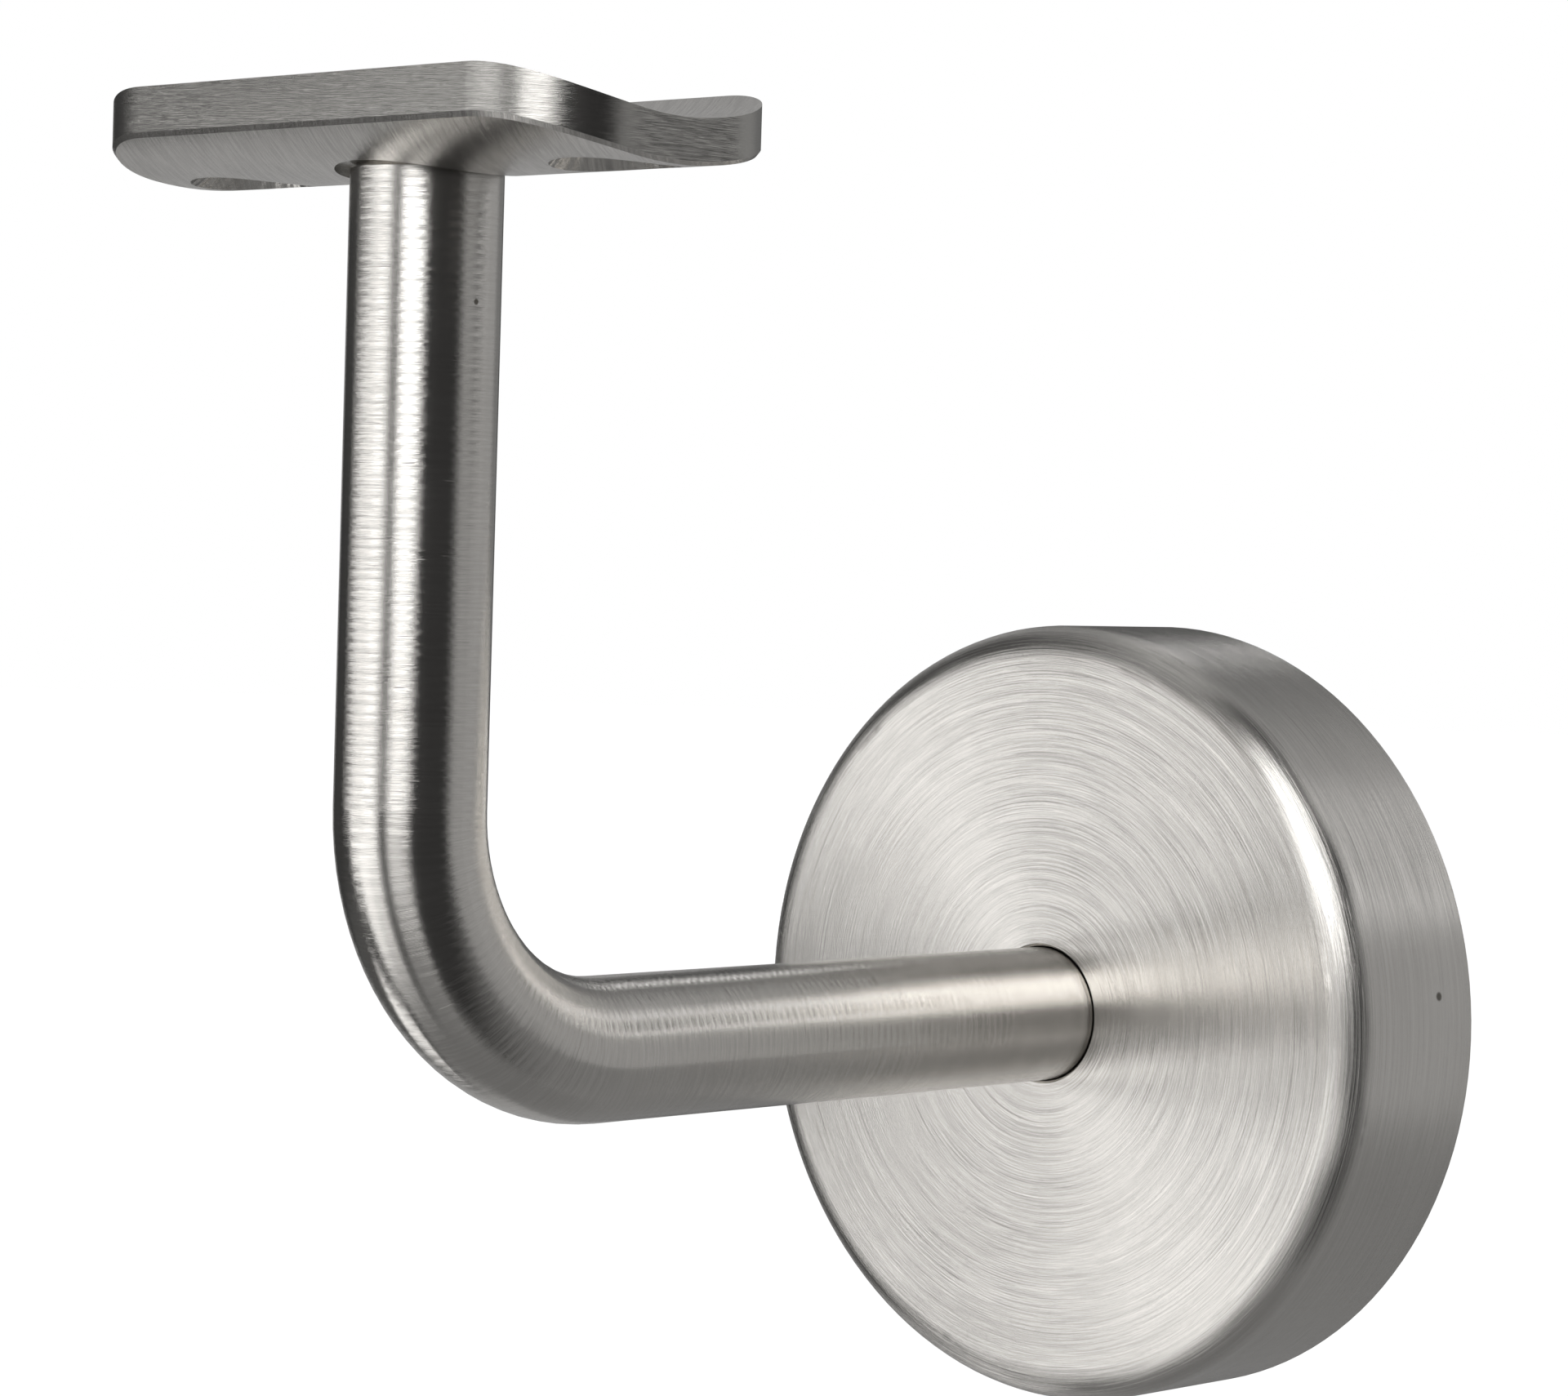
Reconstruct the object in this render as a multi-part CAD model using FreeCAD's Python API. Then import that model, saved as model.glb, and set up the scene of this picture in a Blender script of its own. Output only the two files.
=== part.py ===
import FreeCAD, Part
import math
import os

# Wall bracket for a round handrail, in satin stainless steel.
#
# The frame: the origin is the centre of the wall plate on the face of the wall.
# X runs along the wall and along the handrail, +Y points into the wall and +Z up,
# so the bracket stands out of the wall towards -Y. All lengths are millimetres.

# Bent rod
rod_dia = 12.0
rod_projection = 93.5        # face of the wall to the axis of the upright leg
rod_bend_radius = 20.0       # of the centreline
rod_rise = 69.0              # axis of the arm to the lowest line of the saddle
rod_wall_gap = 0.5           # the inner end stops this short of the wall
rod_top_chamfer = 0.4

# Wall plate, hidden in the cover
plate_thickness = 6.0
plate_lead_in = 0.8          # chamfer that the cover is pushed over
plate_screw_count = 3
plate_screw_pcd = 46.0
plate_screw_hole_dia = 6.5
plate_weld_leg = 3.0         # fillet weld round the rod, in front of the plate

# Cover, a deep drawn cap pushed over the rim of the wall plate
cover_dia = 70.0
cover_depth = 17.0
cover_wall = 1.2
cover_edge_radius = 3.0      # outside radius between the face and the side
cover_hole_gap = 0.12        # between the rod and the edge of its hole
cover_hole_chamfer = 0.2     # broken edge of that hole

# Saddle, a plate rolled to the round of the handrail
rail_dia = 60.3
saddle_length = 56.0
saddle_width = 27.0
saddle_thickness = 3.5
saddle_corner_radius = 9.0
saddle_edge_chamfer = 0.3    # broken edges of the underside
spot_dia = 14.4              # flat seat milled for the end of the rod
spot_skin = 0.1              # how far the seat cuts below the rim that it meets first

# Countersunk holes for the two screws of the handrail
rail_screw_end = 7.0         # hole to the end of the saddle
rail_screw_hole_dia = 5.5
rail_screw_head_dia = 10.5

# Countersunk screw that holds the saddle on the rod
screw_dia = 5.0
screw_length = 14.0
screw_head_dia = 9.4
screw_head_drop = 0.25       # head below the lowest line of the saddle's top
screw_head_land = 0.3        # straight rim of the head
screw_point_chamfer = 0.6
screw_thread_gap = 0.05      # screw to the wall of its hole
screw_socket_flats = 3.0
screw_socket_depth = 1.8
screw_tap_reserve = 2.5      # tapped hole beyond the point of the screw
screw_tap_mouth = 0.5        # chamfer at the mouth of the tapped hole
drill_point_angle = 30.0     # slope of the cone that a drill leaves, in degrees

# How far a cutting shape runs past the face that it cuts
overrun = 1.0

# Values that follow from the ones above
rod_radius = rod_dia / 2
rail_radius = rail_dia / 2
saddle_under_radius = rail_radius + saddle_thickness
leg_y = -rod_projection
saddle_top_z = rod_rise + saddle_thickness
rail_axis_z = saddle_top_z + rail_radius
spot_radius = spot_dia / 2
spot_z = rail_axis_z - math.sqrt(saddle_under_radius ** 2 - spot_radius ** 2) + spot_skin
rail_screw_x = saddle_length / 2 - rail_screw_end
screw_radius = screw_dia / 2
screw_hole_radius = screw_radius + screw_thread_gap
screw_head_z = saddle_top_z - screw_head_drop
plate_radius = cover_dia / 2 - cover_wall

along_x = FreeCAD.Vector(1, 0, 0)
into_wall = FreeCAD.Vector(0, 1, 0)
upwards = FreeCAD.Vector(0, 0, 1)


def point(x, y, z):
    return FreeCAD.Vector(x, y, z)


def polygon_face(corners):
    """A flat face with straight sides."""
    return Part.Face(Part.makePolygon([point(*c) for c in corners + corners[:1]]))


def turned_about_arm(profile):
    """Revolve (radius, y) corners about the axis of the arm."""
    face = polygon_face([(r, y, 0) for r, y in profile])
    return face.revolve(point(0, 0, 0), into_wall, 360)


def turned_about_leg(profile, x=0.0):
    """Revolve (radius, z) corners about an upright axis in the plane of the leg."""
    face = polygon_face([(x + r, leg_y, z) for r, z in profile])
    return face.revolve(point(x, leg_y, 0), upwards, 360)


def wall_plate():
    """Round plate that is screwed to the wall; its rim carries the cover."""
    front = -plate_thickness
    disc = turned_about_arm([
        (0, 0),
        (plate_radius, 0),
        (plate_radius, front + plate_lead_in),
        (plate_radius - plate_lead_in, front),
        (0, front),
    ])
    cuts = [Part.makeCylinder(rod_radius, plate_thickness, point(0, front, 0), into_wall)]
    for i in range(plate_screw_count):
        angle = math.radians(90 + 360 * i / plate_screw_count)
        centre = point(math.cos(angle), 0, math.sin(angle)) * (plate_screw_pcd / 2)
        centre.y = front
        cuts.append(Part.makeCylinder(plate_screw_hole_dia / 2, plate_thickness, centre, into_wall))
    return disc.cut(cuts)


def plate_weld():
    """Fillet weld between the front of the wall plate and the rod."""
    front = -plate_thickness
    return turned_about_arm([
        (rod_radius, front),
        (rod_radius + plate_weld_leg, front),
        (rod_radius, front - plate_weld_leg),
    ])


def arm_rod():
    """Round bar, bent once, with a tapped hole in its top end."""
    bend_start = point(0, leg_y + rod_bend_radius, 0)
    bend_end = point(0, leg_y, rod_bend_radius)
    half = rod_bend_radius * math.sqrt(0.5)
    bend_middle = point(0, leg_y + rod_bend_radius - half, rod_bend_radius - half)
    path = Part.Wire([
        Part.LineSegment(point(0, -rod_wall_gap, 0), bend_start).toShape(),
        Part.Arc(bend_start, bend_middle, bend_end).toShape(),
        Part.LineSegment(bend_end, point(0, leg_y, spot_z)).toShape(),
    ])
    section = Part.Wire(Part.makeCircle(rod_radius, point(0, -rod_wall_gap, 0), into_wall))
    bar = path.makePipeShell([section], True, False)
    top_edge = [e for e in bar.Edges if e.BoundBox.ZMin > spot_z - 0.01 and e.Curve.TypeId == "Part::GeomCircle"]
    bar = bar.makeChamfer(rod_top_chamfer, top_edge)
    tap_end = screw_head_z - screw_length - screw_tap_reserve
    tapped_hole = turned_about_leg([
        (0, spot_z),
        (screw_hole_radius + screw_tap_mouth, spot_z),
        (screw_hole_radius, spot_z - screw_tap_mouth),
        (screw_hole_radius, tap_end),
        (0, tap_end - screw_hole_radius * math.tan(math.radians(drill_point_angle))),
    ])
    return bar.cut(tapped_hole)


def cover_rosette():
    """Drawn cap with a rounded front edge and a hole that the rod passes through."""
    radius = cover_dia / 2
    flat = radius - cover_edge_radius
    hole = rod_radius + cover_hole_gap
    chamfer = cover_hole_chamfer
    front = -cover_depth
    side_end = front + cover_edge_radius
    inside = front + cover_wall
    bow = cover_edge_radius * (1 - math.sqrt(0.5))
    side_point = point(radius, side_end, 0)
    face_point = point(flat, front, 0)
    rounded_edge = Part.Arc(side_point, point(radius - bow, front + bow, 0), face_point).toShape()
    rest = Part.makePolygon([
        face_point,
        point(hole + chamfer, front, 0),
        point(hole, front + chamfer, 0),
        point(hole, inside, 0),
        point(flat, inside, 0),
        point(plate_radius, side_end, 0),
        point(plate_radius, 0, 0),
        point(radius, 0, 0),
        side_point,
    ])
    profile = Part.Wire([rounded_edge] + rest.Edges)
    return Part.Face(profile).revolve(point(0, 0, 0), into_wall, 360)


def rolled_plate():
    """Plate of even thickness, rolled about the axis of the handrail and cut to its outline."""
    start = point(-saddle_length / 2, leg_y, rail_axis_z)
    under = Part.makeCylinder(saddle_under_radius, saddle_length, start, along_x)
    bore = Part.makeCylinder(rail_radius, saddle_length, start, along_x)
    outline = Part.makeBox(
        saddle_length,
        saddle_width,
        rail_axis_z - rod_rise,
        point(-saddle_length / 2, leg_y - saddle_width / 2, rod_rise),
    )
    corners = [e for e in outline.Edges if e.BoundBox.ZLength > 1 and e.BoundBox.XLength < 1 and e.BoundBox.YLength < 1]
    outline = outline.makeFillet(saddle_corner_radius, corners)
    plate = under.cut(bore).common(outline)
    underside = [f for f in plate.Faces if isinstance(f.Surface, Part.Cylinder)
                 and abs(f.Surface.Radius - saddle_under_radius) < 1e-6]
    return plate.makeChamfer(saddle_edge_chamfer, underside[0].OuterWire.Edges)


def saddle():
    """The rolled plate with its seat for the rod and its three countersunk holes."""
    seat = Part.makeCylinder(spot_radius, spot_z - rod_rise + overrun, point(0, leg_y, rod_rise - overrun), upwards)
    head = screw_head_dia / 2
    shoulder_z = screw_head_z - screw_head_land
    cone_end = shoulder_z - (head - screw_hole_radius)
    centre_hole = turned_about_leg([
        (0, spot_z - overrun),
        (screw_hole_radius, spot_z - overrun),
        (screw_hole_radius, cone_end),
        (head, shoulder_z),
        (head, saddle_top_z + overrun),
        (0, saddle_top_z + overrun),
    ])
    rim = rail_screw_head_dia / 2
    bore = rail_screw_hole_dia / 2
    cone_top = rod_rise + rim - bore
    cuts = [seat, centre_hole]
    for x in (-rail_screw_x, rail_screw_x):
        cuts.append(turned_about_leg([
            (0, rod_rise - overrun),
            (rim + overrun, rod_rise - overrun),
            (bore, cone_top),
            (bore, saddle_top_z + overrun),
            (0, saddle_top_z + overrun),
        ], x))
    return rolled_plate().cut(cuts)


def saddle_screw():
    """Countersunk screw with a hexagon socket, from the top of the saddle into the rod."""
    head = screw_head_dia / 2
    shoulder_z = screw_head_z - screw_head_land
    cone_end = shoulder_z - (head - screw_radius)
    tip = screw_head_z - screw_length
    body = turned_about_leg([
        (0, screw_head_z),
        (head, screw_head_z),
        (head, shoulder_z),
        (screw_radius, cone_end),
        (screw_radius, tip + screw_point_chamfer),
        (screw_radius - screw_point_chamfer, tip),
        (0, tip),
    ])
    corner = screw_socket_flats / 2 / math.cos(math.radians(30))
    hexagon = polygon_face([
        (corner * math.cos(math.radians(60 * i)), leg_y + corner * math.sin(math.radians(60 * i)), screw_head_z)
        for i in range(6)
    ])
    return body.cut(hexagon.extrude(upwards * -screw_socket_depth))


pieces = {
    "wall_plate": wall_plate,
    "plate_weld": plate_weld,
    "arm_rod": arm_rod,
    "cover_rosette": cover_rosette,
    "saddle": saddle,
    "saddle_screw": saddle_screw,
}

os.makedirs("parts", exist_ok=True)
for name, make in pieces.items():
    shape = make()
    if len(shape.Solids) == 1:
        shape = shape.Solids[0]
    print(f"{name}: valid {shape.isValid()}, solids {len(shape.Solids)}, volume {shape.Volume:.1f} mm3")
    shape.exportStep(f"parts/{name}.step")
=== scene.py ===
import math

import bmesh
import bpy
from bpy.props import FloatProperty, FloatVectorProperty, PointerProperty
from mathutils import Matrix, Vector


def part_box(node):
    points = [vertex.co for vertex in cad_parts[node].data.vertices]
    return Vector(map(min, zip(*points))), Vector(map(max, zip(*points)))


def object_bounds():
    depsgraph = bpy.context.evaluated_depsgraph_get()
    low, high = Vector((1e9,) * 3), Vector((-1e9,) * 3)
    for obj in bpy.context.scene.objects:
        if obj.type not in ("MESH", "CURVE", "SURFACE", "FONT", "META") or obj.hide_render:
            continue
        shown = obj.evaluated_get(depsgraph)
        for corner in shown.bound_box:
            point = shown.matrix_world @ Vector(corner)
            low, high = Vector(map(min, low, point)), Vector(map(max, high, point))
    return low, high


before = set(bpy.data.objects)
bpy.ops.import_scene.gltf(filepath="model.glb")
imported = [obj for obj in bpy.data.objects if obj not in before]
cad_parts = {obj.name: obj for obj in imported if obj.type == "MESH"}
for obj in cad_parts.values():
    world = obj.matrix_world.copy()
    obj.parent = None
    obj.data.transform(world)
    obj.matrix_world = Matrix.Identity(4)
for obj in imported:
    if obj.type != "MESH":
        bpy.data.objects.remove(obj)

bl_info = {
    "name": "Handrail bracket",
    "version": (1, 0, 0),
    "blender": (4, 5, 0),
    "location": "3D View > Sidebar > Bracket",
    "description": "Finishes and studio for a satin stainless steel handrail bracket",
    "category": "Object",
}

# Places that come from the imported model, in metres
model_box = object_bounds()
rod_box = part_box("arm_rod")
saddle_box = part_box("saddle")
rod_radius = rod_box[1].x
leg_y = rod_box[0].y + rod_radius
saddle_middle = (saddle_box[0] + saddle_box[1]) / 2

# Scratches, beside the scratch pitch: widths of the coarse and the deep ones, depth of the
# deep ones, and the noise that gives a fine one walls of slope 1
coarse_width = 5
deep_width = 4
deep_depth = 0.2
height_for_slope = 2.4
deep_start = 7.3  # where the noise of the deep ones starts, away from the others
deep_share = (0.8, 0.86)  # the noise over which a scratch is a deep one

# The wander that frays the edge of a reflection, in metres
fray_width = 0.0002
fray_length = 0.0008
fray_height = 0.00002

# Ridges of the rod: periods beside the scratch pitch, slope of their walls, how far a
# noise of this width beside the pitch shifts them, in radians
ridge_periods = (0.8, 1.2, 2.2)
ridge_slope = 0.105
ridge_stray = 4.0
ridge_stray_width = 4

# Clouds and lines in the colour, soft patches in the roughness, in metres or beside the pitch
cloud_size = 0.012
line_width = 6
patch_width = 0.003
patch_length = 0.01
patch_roughness = 0.08

# Countersinks of the saddle, in metres, and the chatter of the tool in them
countersink_edge = (0.0051, 0.0054)
chatter_turns = 23.0
chatter_rings = 2500.0
chatter_height = 0.00003

# Brushing of the saddle: slant on the broad faces, lean of the lines on the edges, and how
# far up or down a face looks where it counts as broad, and as the underside
# Faces that don't count as broad, the saddle's edges and hole walls, also get painted shade in
# their colour
brush_slant = math.radians(34)
edge_lean = 0.05
broad_from = (0.45, 0.6)
underside_from = (0.2, 0.3)

# Small dark specks: middle and radius
rod_speck = (rod_radius, leg_y, 0.0593), 0.0003
cover_speck = (0.0348, -0.0047, 0.004), 0.0005

# Weld metal
weld_light = (0.5, 0.46, 0.4, 1.0)
weld_dark = (0.36, 0.33, 0.31, 1.0)
weld_grain = 0.0008
weld_ripples = 46.0
weld_ripple_height = 0.00008
weld_grain_height = 0.00005

# Studio: light on matt surfaces, the floor, distances of the nearer cards
white = (1, 1, 1, 1)
soft_light = 0.8
floor_colour = (0.8, 0.8, 0.8, 1.0)
floor_lift = 0.4
floor_radius = 30.0
near_distance = 0.85
flag_distance = 0.2
card_rows = 16
card_columns = 24

# Cards that only reflections see: name, from and to in degrees to the camera's right and
# over the horizon, brightness, and a distance where it isn't the usual one
cards = (
    ("key_box", (-31, 0), (11, 52), 4.7),
    ("front_board", (-31, -12), (-16, 11), 0.9),
    ("front_middle", (-12, 0), (-16, 11), 0.5),
    ("front_low", (-31, 0), (-29, -16), 1.1),
    ("front_foot", (-31, 0), (-60, -29), 0.3),
    ("bend_foot", (-20, 12), (-60, -42), 0.3, near_distance),
    ("dark_gap", (-46, -31), (-60, 60), 0.12),
    ("side_high", (-108, -95), (0, 14), 1.3),
    ("side_middle", (-95, -46), (-3, 6), 1.8),
    ("side_ray", (-66, -54), (1, 8), 3.4, near_distance),
    ("side_dip", (-95, -46), (-9, -3), 0.08),
    ("side_lower", (-95, -46), (-18, -9), 2.0),
    ("side_low", (-84, -66), (-45, -18), 1.4),
    ("side_low_edge", (-66, -46), (-45, -18), 1.0),
    ("side_slope", (-95, -46), (6, 14), 1.3),
    ("side_upper", (-86, -46), (14, 60), 0.35),
    ("side_foot", (-84, -46), (-60, -45), 0.5),
    ("dark_left", (-155, -108), (0, 14), 0.05),
    ("dark_left_upper", (-155, -86), (14, 60), 0.08),
    ("dark_left_middle", (-155, -95), (-18, 0), 0.05),
    ("dark_left_low", (-155, -84), (-60, -18), 0.1),
    ("grey_left", (-180, -155), (-60, 60), 0.4),
    ("dark_right", (0, 62), (-60, 60), 0.04),
    ("grey_right", (62, 140), (-20, 60), 0.4),
    ("grey_right_back", (140, 165), (-20, 60), 0.22),
    ("grey_back", (165, 180), (-20, 60), 0.1),
    ("grey_right_low", (62, 180), (-60, -20), 0.25),
    ("back_box", (84, 112), (15, 45), 1.0, near_distance),
    ("streak_low", (162.5, 165.5), (24, 36), 2.2, near_distance),
    ("streak_middle", (165.5, 169), (36, 46), 2.2, near_distance),
    ("streak_high", (168, 173), (46, 60), 2.2, near_distance),
    ("ceiling_front", (-60, 120), (60, 90), 0.05),
    ("ceiling_left", (-120, -60), (60, 90), 0.7),
    ("ceiling_back", (120, 240), (60, 90), 0.4),
    ("ground_board", (0, 360), (-90, -60), 0.2),
    ("low_left", (-138, -112), (-56, -38), 1.5, near_distance),
)

# The same close round the saddle, which keep light from its edges
flags = (
    ("left_flag", (-120, -83), (1, 30), 0.12),
    ("right_flag", (78, 102), (1, 17), 0.03),
)


class BracketSizes(bpy.types.PropertyGroup):
    bend_radius: FloatProperty(
        name="Bend radius",
        description="Centreline radius of the bend in the rod",
        default=0.020, min=0.01, unit="LENGTH",
    )
    screw_spacing: FloatProperty(
        name="Screw spacing",
        description="Distance between the two handrail screw holes in the saddle",
        default=0.042, min=0.02, unit="LENGTH",
    )


class BracketFinish(bpy.types.PropertyGroup):
    steel: FloatVectorProperty(
        name="Steel",
        description="Colour of the ground stainless steel",
        subtype="COLOR", size=3, min=0, max=1, default=(0.68, 0.66, 0.63),
    )
    worn_steel: FloatVectorProperty(
        name="Darker steel",
        description="Colour of the steel where the grain is coarser",
        subtype="COLOR", size=3, min=0, max=1, default=(0.62, 0.60, 0.57),
    )
    # Painted shade: a darker colour for the saddle's edges and hole walls, which are the same steel
    # as its broad faces
    shaded_edge_steel: FloatVectorProperty(
        name="Painted shade edge steel",
        description="Colour of the steel along the edges of the saddle",
        subtype="COLOR", size=3, min=0, max=1, default=(0.42, 0.41, 0.39),
    )
    brushed_steel: FloatVectorProperty(
        name="Brushed steel",
        description="Colour of the darker brush lines on the saddle",
        subtype="COLOR", size=3, min=0, max=1, default=(0.5, 0.485, 0.46),
    )
    speck: FloatVectorProperty(
        name="Speck",
        description="Colour of the small specks in the steel",
        subtype="COLOR", size=3, min=0, max=1, default=(0.16, 0.15, 0.13),
    )
    bar_roughness: FloatProperty(
        name="Bar roughness",
        description="Roughness of the steel between the scratches of the rod",
        default=0.15, min=0, max=1, subtype="FACTOR",
    )
    scratch_pitch: FloatProperty(
        name="Scratch pitch",
        description="Distance between two fine grinding scratches",
        default=0.00003, min=0.00001, unit="LENGTH",
    )
    scratch_length: FloatProperty(
        name="Scratch length",
        description="Usual length of a grinding scratch",
        default=0.003, min=0.0002, unit="LENGTH",
    )


class BracketStage(bpy.types.PropertyGroup):
    camera_place: FloatVectorProperty(
        name="Camera place",
        description="Where the camera stands",
        subtype="TRANSLATION", size=3, default=(0.26474, -0.32943, 0.04073),
    )
    camera_azimuth: FloatProperty(
        name="Camera azimuth",
        description="Turn of the camera from the front towards the right",
        subtype="ANGLE", default=math.radians(43.63),
    )
    camera_elevation: FloatProperty(
        name="Camera elevation",
        description="How far the camera looks down",
        subtype="ANGLE", default=math.radians(1.82),
    )
    camera_roll: FloatProperty(
        name="Camera roll",
        description="Turn of the camera about its own axis",
        subtype="ANGLE", default=math.radians(1.72),
    )
    lens: FloatProperty(
        name="Lens",
        description="Focal length in millimetres on a sensor 36 mm wide",
        default=104.4, min=10,
    )
    floor_drop: FloatProperty(
        name="Floor drop",
        description="Height of the wall mount over the floor",
        default=1.0, min=0.1, unit="LENGTH",
    )
    card_distance: FloatProperty(
        name="Card distance",
        description="Distance of the grey cards and the soft boxes from the bracket",
        default=0.9, min=0.5, unit="LENGTH",
    )


def sizes():
    return bpy.context.scene.bracket_sizes


def colours():
    return bpy.context.scene.bracket_finish


def stage_values():
    return bpy.context.scene.bracket_stage


class Signal:
    """A node's output that shader maths can be written with."""

    def __init__(self, finish, socket):
        self.finish = finish
        self.socket = socket

    def _math(self, operation, first, second=0.0):
        return self.finish.node("ShaderNodeMath", {"operation": operation}, {0: first, 1: second})

    def __add__(self, other):
        return self._math("ADD", self, other)

    def __radd__(self, other):
        return self._math("ADD", other, self)

    def __sub__(self, other):
        return self._math("SUBTRACT", self, other)

    def __rsub__(self, other):
        return self._math("SUBTRACT", other, self)

    def __mul__(self, other):
        return self._math("MULTIPLY", self, other)

    def __rmul__(self, other):
        return self._math("MULTIPLY", other, self)

    def __truediv__(self, other):
        return self._math("DIVIDE", self, other)

    def __rtruediv__(self, other):
        return self._math("DIVIDE", other, self)

    def __abs__(self):
        return self._math("ABSOLUTE", self)

    def root(self):
        return self._math("SQRT", self)

    def at_least(self, other):
        return self._math("MAXIMUM", self, other)

    def at_most(self, other):
        return self._math("MINIMUM", self, other)

    def angle_over(self, other):
        """The angle whose tangent is this value over the other one."""
        return self._math("ARCTAN2", self, other)

    def sine(self):
        return self._math("SINE", self)

    def step(self, low, high):
        """0 below low, 1 above high, and a soft rise between them."""
        return self.finish.node(
            "ShaderNodeMapRange",
            {"interpolation_type": "SMOOTHSTEP"},
            {"Value": self, "From Min": low, "From Max": high},
        )


class Finish:
    """The nodes of one material, or of the studio's world."""

    def __init__(self, tree):
        self.tree = tree
        self.tree.nodes.clear()

    def node(self, kind, settings=None, inputs=None, output=0):
        made = self.tree.nodes.new(kind)
        for key, value in (settings or {}).items():
            setattr(made, key, value)
        for key, value in (inputs or {}).items():
            if isinstance(value, Signal):
                self.tree.links.new(value.socket, made.inputs[key])
            else:
                made.inputs[key].default_value = value
        return Signal(self, made.outputs[output]) if len(made.outputs) else None

    def place(self):
        """The x, y and z of the surface in the bracket's own frame."""
        coordinates = self.node("ShaderNodeTexCoord", output="Object")
        return self.split(coordinates)

    def facing(self):
        """The x, y and z of the direction that the surface faces."""
        return self.split(self.node("ShaderNodeNewGeometry", output="Normal"))

    def split(self, vector):
        parts = self.node("ShaderNodeSeparateXYZ", inputs={"Vector": vector})
        outputs = parts.socket.node.outputs
        return [Signal(self, outputs[axis]) for axis in ("X", "Y", "Z")]

    def vector(self, x, y, z):
        return self.node("ShaderNodeCombineXYZ", inputs={"X": x, "Y": y, "Z": z})

    def noise(self, x, y, z, detail=2.0, roughness=0.5):
        """Noise from 0 to 1 whose features are about one unit of x, y and z wide."""
        return self.node("ShaderNodeTexNoise", inputs={
            "Vector": self.vector(x, y, z),
            "Scale": 1.0,
            "Detail": detail,
            "Roughness": roughness,
        })

    def mixed(self, amount, first, second):
        """A colour between two others."""
        return self.node("ShaderNodeMix", {"data_type": "RGBA"},
                         {0: amount, 6: first, 7: second}, output=2)

    def bump(self, height):
        """A normal from a height in metres."""
        return self.node("ShaderNodeBump", inputs={
            "Strength": 1.0,
            "Distance": 1.0,
            "Height": height,
        }, output="Normal")


def new_finish(name):
    material = bpy.data.materials.new(name)
    material.use_nodes = True
    return material, Finish(material.node_tree)


def surface(finish, shader):
    """End a material in this shader."""
    finish.node("ShaderNodeOutputMaterial", inputs={"Surface": shader})


def opaque(colour):
    return (*colour, 1.0)


def steel(finish, colour, roughness, height):
    return finish.node("ShaderNodeBsdfPrincipled", inputs={
        "Base Color": colour,
        "Metallic": 1.0,
        "Roughness": roughness,
        "Normal": finish.bump(height),
    }, output="BSDF")


def scratches(finish, across, side, other_side,
              slope=0.2, reach=1.0, rings=0.08, wander=0.3):
    """Height in metres of grinding scratches that run square to across.

    They are fine lines with walls of the given slope, coarser lines between them, a few
    deep ones, and a wander, beside fray_height, that frays the edge of a reflection. Reach
    is their length beside the rod's, rings the height of the coarse ones beside the pitch.
    """
    pitch = colours().scratch_pitch
    length = colours().scratch_length * reach
    fine = finish.noise(across / pitch, side / length, other_side / length, detail=1.0)
    coarse = finish.noise(across / (pitch * coarse_width), side / length, other_side / length,
                          detail=1.0)
    deep = finish.noise(across / (pitch * deep_width), side / length + deep_start,
                        other_side / length, detail=0.0)
    lines = (fine * (pitch * slope * height_for_slope) + coarse * (pitch * rings)
             - deep.step(*deep_share) * (pitch * deep_depth))
    drift = finish.noise(across / fray_width, side / fray_length, other_side / fray_length,
                         detail=0.0)
    return lines + drift * (fray_height * wander)


def ridges(finish, across, side, other_side):
    """Height in metres of even fine ridges that run square to across.

    Three rows of waves, none a multiple of another, spread a reflection evenly. Each strays
    along its own noise, so no pattern builds up between them.
    """
    pitch = colours().scratch_pitch
    length = colours().scratch_length
    height = 0.0
    for share in ridge_periods:
        period = pitch * share
        start = share * 10  # another place in the noise for each row
        phase = finish.noise(across / (pitch * ridge_stray_width) + start,
                             side / length, other_side / length, detail=1.0)
        wave = (across * (math.tau / period) + phase * ridge_stray).sine()
        height = wave * (ridge_slope * period / math.tau) + height
    return height


def ground_colour(finish, across, side, other_side, reach=1.0, dark=None):
    """Colour of ground steel: broad soft clouds and faint darker lines along the scratches."""
    pitch = colours().scratch_pitch
    length = colours().scratch_length * reach * 2
    clouds = finish.noise(across / cloud_size, side / cloud_size, other_side / cloud_size,
                          detail=3.0)
    lines = finish.noise(across / (pitch * line_width), side / length, other_side / length,
                         detail=2.0)
    amount = clouds.step(0.35, 0.75) * 0.4 + lines.step(0.35, 0.65) * 0.6
    return finish.mixed(amount, opaque(colours().steel), opaque(dark or colours().worn_steel))


def patches(finish, across, side, other_side, lowest):
    """Roughness in soft patches, from the lowest value up."""
    noise = finish.noise(across / patch_width, side / patch_length, other_side / patch_length)
    return noise * patch_roughness + lowest


def marked(finish, colour, place, centre, radius):
    """The colour with a small dark speck at a place."""
    apart = [axis - middle for axis, middle in zip(place, centre)]
    distance = (apart[0] * apart[0] + apart[1] * apart[1] + apart[2] * apart[2]).root()
    return finish.mixed(1 - distance.step(radius * 0.5, radius), colour, opaque(colours().speck))


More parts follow.
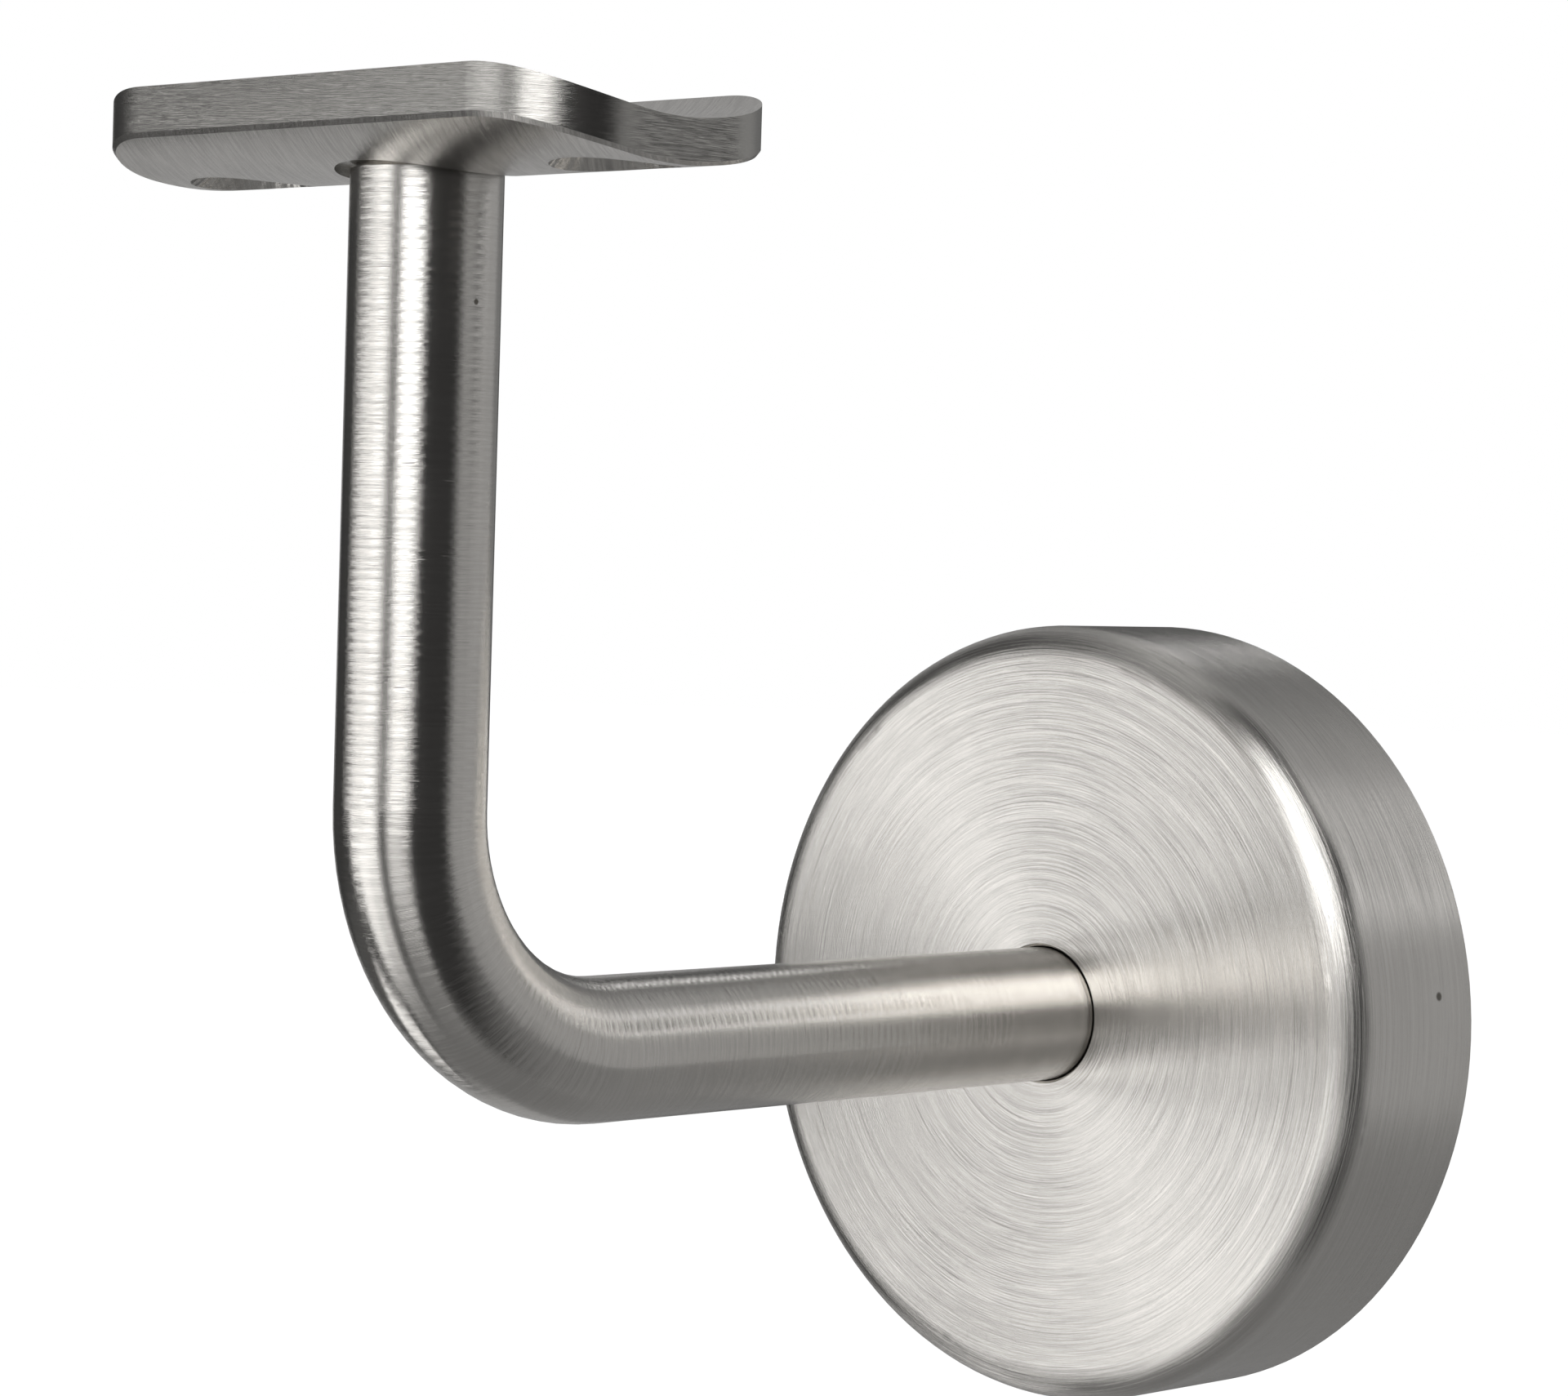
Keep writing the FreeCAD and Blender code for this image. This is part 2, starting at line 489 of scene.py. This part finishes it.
def ground_bar():
    """Satin steel of the rod, ground round the bar from the wall to the saddle."""
    material, finish = new_finish("ground_bar")
    x, y, z = finish.place()
    bend = sizes().bend_radius
    past_start = (leg_y + bend) - y
    before_end = bend - z
    outward = past_start.at_least(0.0)
    downward = before_end.at_least(0.0)
    along = (past_start.at_most(0.0) + outward.angle_over(downward) * bend
             + (0.0 - before_end).at_least(0.0))
    from_centre = (outward * outward + downward * downward).root() - bend
    height = scratches(finish, along, x, from_centre, slope=0.03, rings=0.02, wander=0.08)
    height = height + ridges(finish, along, x, from_centre)
    colour = ground_colour(finish, along, x, from_centre)
    colour = marked(finish, colour, (x, y, z), *rod_speck)
    lowest = colours().bar_roughness - patch_roughness / 2
    roughness = patches(finish, along, x, from_centre, lowest)
    surface(finish, steel(finish, colour, roughness, height))
    return material


def turned_cover():
    """Satin steel of the cover: turned rings on its face, ground round its side."""
    material, finish = new_finish("turned_cover")
    x, y, z = finish.place()
    radius = (x * x + z * z).root()
    profile = radius + y
    height = scratches(finish, profile, x, z, slope=0.22, reach=5.0, rings=0.13, wander=0.0)
    colour = ground_colour(finish, profile, x, z, reach=4.0)
    colour = marked(finish, colour, (x, y, z), *cover_speck)
    roughness = patches(finish, profile, x, z, lowest=0.18)
    surface(finish, steel(finish, colour, roughness, height))
    return material


def brushed_saddle():
    """Satin steel of the saddle: brushed along its edges and slantwise on its broad faces, with
    painted shade on its edges.
    """
    material, finish = new_finish("brushed_saddle")
    x, y, z = finish.place()
    upright = finish.facing()[2]
    broad = abs(upright).step(*broad_from)
    across_broad = x * math.cos(brush_slant) + y * math.sin(brush_slant)
    along_broad = y * math.cos(brush_slant) - x * math.sin(brush_slant)
    edge_height = scratches(finish, z + x * edge_lean, x, y, rings=0.14)
    broad_height = scratches(finish, across_broad, along_broad, z, rings=0.14)
    height = edge_height + (broad_height - edge_height) * broad
    hole_x = abs(x) - sizes().screw_spacing / 2
    hole_y = y - leg_y
    from_hole = (hole_x * hole_x + hole_y * hole_y).root()
    sunk = (1 - from_hole.step(*countersink_edge)) * (0 - upright).step(*underside_from)
    chatter = (hole_y.angle_over(hole_x) * chatter_turns + from_hole * chatter_rings).sine()
    sunk_height = scratches(finish, from_hole, x, y) + chatter * chatter_height
    height = height + (sunk_height - height) * sunk
    flat_colour = ground_colour(finish, across_broad, along_broad, z,
                                dark=colours().brushed_steel)
    # Painted shade: faces that don't count as broad, the saddle's edges and hole walls, take the
    # darker edge colour
    colour = finish.mixed(broad, opaque(colours().shaded_edge_steel), flat_colour)
    roughness = patches(finish, across_broad, along_broad, z, lowest=0.2)
    surface(finish, steel(finish, colour, roughness, height))
    return material


def turned_screw():
    """Bright turned steel of the screw."""
    material, finish = new_finish("turned_screw")
    x, y, z = finish.place()
    from_axis = (x * x + (y - leg_y) * (y - leg_y)).root()
    profile = from_axis + z
    height = scratches(finish, profile, x, y, slope=0.12)
    colour = ground_colour(finish, profile, x, y)
    surface(finish, steel(finish, colour, roughness=0.12, height=height))
    return material


def milled_plate():
    """Plain sawn and turned steel of the wall plate."""
    material, finish = new_finish("milled_plate")
    x, y, z = finish.place()
    across = x * 0.8 + z * 0.6
    height = scratches(finish, across, z, y, slope=0.25)
    colour = ground_colour(finish, across, z, y)
    surface(finish, steel(finish, colour, roughness=0.35, height=height))
    return material


def weld_metal():
    """Rippled weld metal with a faint straw tint."""
    material, finish = new_finish("weld_metal")
    x, y, z = finish.place()
    ripple = (z.angle_over(x) * weld_ripples).sine()
    grain = finish.noise(x / weld_grain, y / weld_grain, z / weld_grain)
    colour = finish.mixed(grain.step(0.3, 0.7), weld_light, weld_dark)
    height = ripple * weld_ripple_height + grain * weld_grain_height
    surface(finish, steel(finish, colour, roughness=0.38, height=height))
    return material


def dress(node, material):
    """Give a node of the model its finish."""
    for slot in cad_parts[node].material_slots:
        slot.material = material


def glow(name, level):
    """A card that glows evenly, as a lit soft box or a grey board does in a reflection."""
    material, finish = new_finish(name)
    grey = (level, level, level, 1.0)
    surface(finish, finish.node("ShaderNodeEmission", inputs={"Color": grey, "Strength": 1.0}))
    return material


def direction(azimuth, elevation):
    """Unit vector at an azimuth from the camera's side, towards its right, and an elevation."""
    turn = stage_values().camera_azimuth + azimuth
    return Vector((
        math.sin(turn) * math.cos(elevation),
        -math.cos(turn) * math.cos(elevation),
        math.sin(elevation),
    ))


def card(name, azimuths, elevations, level, distance=None, centre=None):
    """A curved card round the bracket that only reflections see."""
    centre = centre or (model_box[0] + model_box[1]) / 2
    radius = distance or stage_values().card_distance
    start, end = (math.radians(a) for a in azimuths)
    low, high = (math.radians(e) for e in elevations)
    mesh = bpy.data.meshes.new(name)
    sheet = bmesh.new()
    corner = sheet.verts.new(centre + direction(start, low) * radius)
    side = direction(start, 0).cross(Vector((0, 0, 1)))
    bmesh.ops.spin(sheet, geom=[corner], cent=centre, axis=side, angle=high - low,
                   steps=card_rows)
    bmesh.ops.spin(sheet, geom=sheet.verts[:] + sheet.edges[:], cent=centre, axis=(0, 0, 1),
                   angle=end - start, steps=card_columns)
    sheet.to_mesh(mesh)
    sheet.free()
    board = bpy.data.objects.new(name, mesh)
    bpy.context.scene.collection.objects.link(board)
    mesh.materials.append(glow(name + "_glow", level))
    board.visible_camera = False
    board.visible_diffuse = False
    board.visible_transmission = False
    board.visible_shadow = False


def studio_world():
    """An even white studio; the camera and the metal see it at full white."""
    world = bpy.data.worlds.new("white_studio")
    world.use_nodes = True
    bpy.context.scene.world = world
    finish = Finish(world.node_tree)
    path = finish.node("ShaderNodeLightPath")
    ways = path.socket.node.outputs
    seen, mirrored, through = (Signal(finish, ways[way]) for way in (
        "Is Camera Ray", "Is Glossy Ray", "Is Transmission Ray"))
    soft = finish.node("ShaderNodeBackground", inputs={"Color": white, "Strength": soft_light})
    full = finish.node("ShaderNodeBackground", inputs={"Color": white, "Strength": 1.0})
    amount = seen.at_least(mirrored).at_least(through)
    both = finish.node("ShaderNodeMixShader", inputs={0: amount, 1: soft, 2: full})
    finish.node("ShaderNodeOutputWorld", inputs={"Surface": both})


def pale_floor():
    """A wide white floor, far enough below to keep only a soft shadow."""
    material, finish = new_finish("pale_floor")
    seen = finish.node("ShaderNodeLightPath", output="Is Camera Ray")
    matt = finish.node("ShaderNodeBsdfDiffuse", inputs={"Color": floor_colour})
    lift = finish.node("ShaderNodeEmission", inputs={"Color": white, "Strength": seen * floor_lift})
    both = finish.node("ShaderNodeAddShader", inputs={0: matt, 1: lift})
    mesh = bpy.data.meshes.new("floor")
    sheet = bmesh.new()
    bmesh.ops.create_circle(sheet, cap_ends=True, segments=64, radius=floor_radius,
                            matrix=Matrix.Translation((0, 0, -stage_values().floor_drop)))
    sheet.to_mesh(mesh)
    sheet.free()
    floor = bpy.data.objects.new("floor", mesh)
    bpy.context.scene.collection.objects.link(floor)
    surface(finish, both)
    mesh.materials.append(material)


def camera():
    values = stage_values()
    azimuth, elevation, roll = values.camera_azimuth, values.camera_elevation, values.camera_roll
    back = direction(0, elevation)
    right = Vector((math.cos(azimuth), math.sin(azimuth), 0))
    up = back.cross(right)
    rolled_right = right * math.cos(roll) + up * math.sin(roll)
    rolled_up = up * math.cos(roll) - right * math.sin(roll)
    turn = Matrix((rolled_right, rolled_up, back)).transposed()
    data = bpy.data.cameras.new("camera")
    data.sensor_width = 36
    data.lens = values.lens
    data.clip_start = 0.01
    data.clip_end = 100
    eye = bpy.data.objects.new("camera", data)
    bpy.context.scene.collection.objects.link(eye)
    eye.matrix_world = Matrix.Translation(values.camera_place) @ turn.to_4x4()
    bpy.context.scene.camera = eye


class BRACKET_OT_rod(bpy.types.Operator):
    """Give the bent rod its ground finish"""
    bl_idname = "bracket.rod"
    bl_label = "Rod"

    def execute(self, context):
        dress("arm_rod", ground_bar())
        return {"FINISHED"}


class BRACKET_OT_cover(bpy.types.Operator):
    """Give the cover its turned finish"""
    bl_idname = "bracket.cover"
    bl_label = "Cover"

    def execute(self, context):
        dress("cover_rosette", turned_cover())
        return {"FINISHED"}


class BRACKET_OT_saddle(bpy.types.Operator):
    """Give the saddle its brushed finish"""
    bl_idname = "bracket.saddle"
    bl_label = "Saddle"

    def execute(self, context):
        dress("saddle", brushed_saddle())
        return {"FINISHED"}


class BRACKET_OT_hidden_pieces(bpy.types.Operator):
    """Give the screw, the wall plate and the weld their finishes"""
    bl_idname = "bracket.hidden_pieces"
    bl_label = "Screw, wall plate and weld"

    def execute(self, context):
        dress("saddle_screw", turned_screw())
        dress("wall_plate", milled_plate())
        dress("plate_weld", weld_metal())
        return {"FINISHED"}


class BRACKET_OT_stage(bpy.types.Operator):
    """Make the floor, the studio, its cards and the camera"""
    bl_idname = "bracket.stage"
    bl_label = "Stage"

    def execute(self, context):
        bpy.context.scene.view_settings.view_transform = "Standard"
        studio_world()
        pale_floor()
        for row in cards:
            card(*row)
        for row in flags:
            card(*row, flag_distance, saddle_middle)
        camera()
        return {"FINISHED"}


class BRACKET_PT_sidebar(bpy.types.Panel):
    """Buttons that make the bracket's finishes and its stage"""
    bl_idname = "BRACKET_PT_sidebar"
    bl_label = "Handrail bracket"
    bl_space_type = "VIEW_3D"
    bl_region_type = "UI"
    bl_category = "Bracket"

    def draw(self, context):
        column = self.layout.column(align=True)
        for operator in operators:
            column.operator(operator.bl_idname)
        for group in (sizes(), colours(), stage_values()):
            for name in type(group).__annotations__:
                self.layout.prop(group, name)


operators = (
    BRACKET_OT_rod,
    BRACKET_OT_cover,
    BRACKET_OT_saddle,
    BRACKET_OT_hidden_pieces,
    BRACKET_OT_stage,
)
groups = {
    "bracket_sizes": BracketSizes,
    "bracket_finish": BracketFinish,
    "bracket_stage": BracketStage,
}


def register():
    for name, group in groups.items():
        bpy.utils.register_class(group)
        setattr(bpy.types.Scene, name, PointerProperty(type=group))
    for operator in operators:
        bpy.utils.register_class(operator)
    bpy.utils.register_class(BRACKET_PT_sidebar)


def unregister():
    bpy.utils.unregister_class(BRACKET_PT_sidebar)
    for operator in reversed(operators):
        bpy.utils.unregister_class(operator)
    for name, group in reversed(groups.items()):
        delattr(bpy.types.Scene, name)
        bpy.utils.unregister_class(group)


def main():
    register()
    bpy.ops.bracket.rod()
    bpy.ops.bracket.cover()
    bpy.ops.bracket.saddle()
    bpy.ops.bracket.hidden_pieces()
    bpy.ops.bracket.stage()


if __name__ == "__main__":
    main()
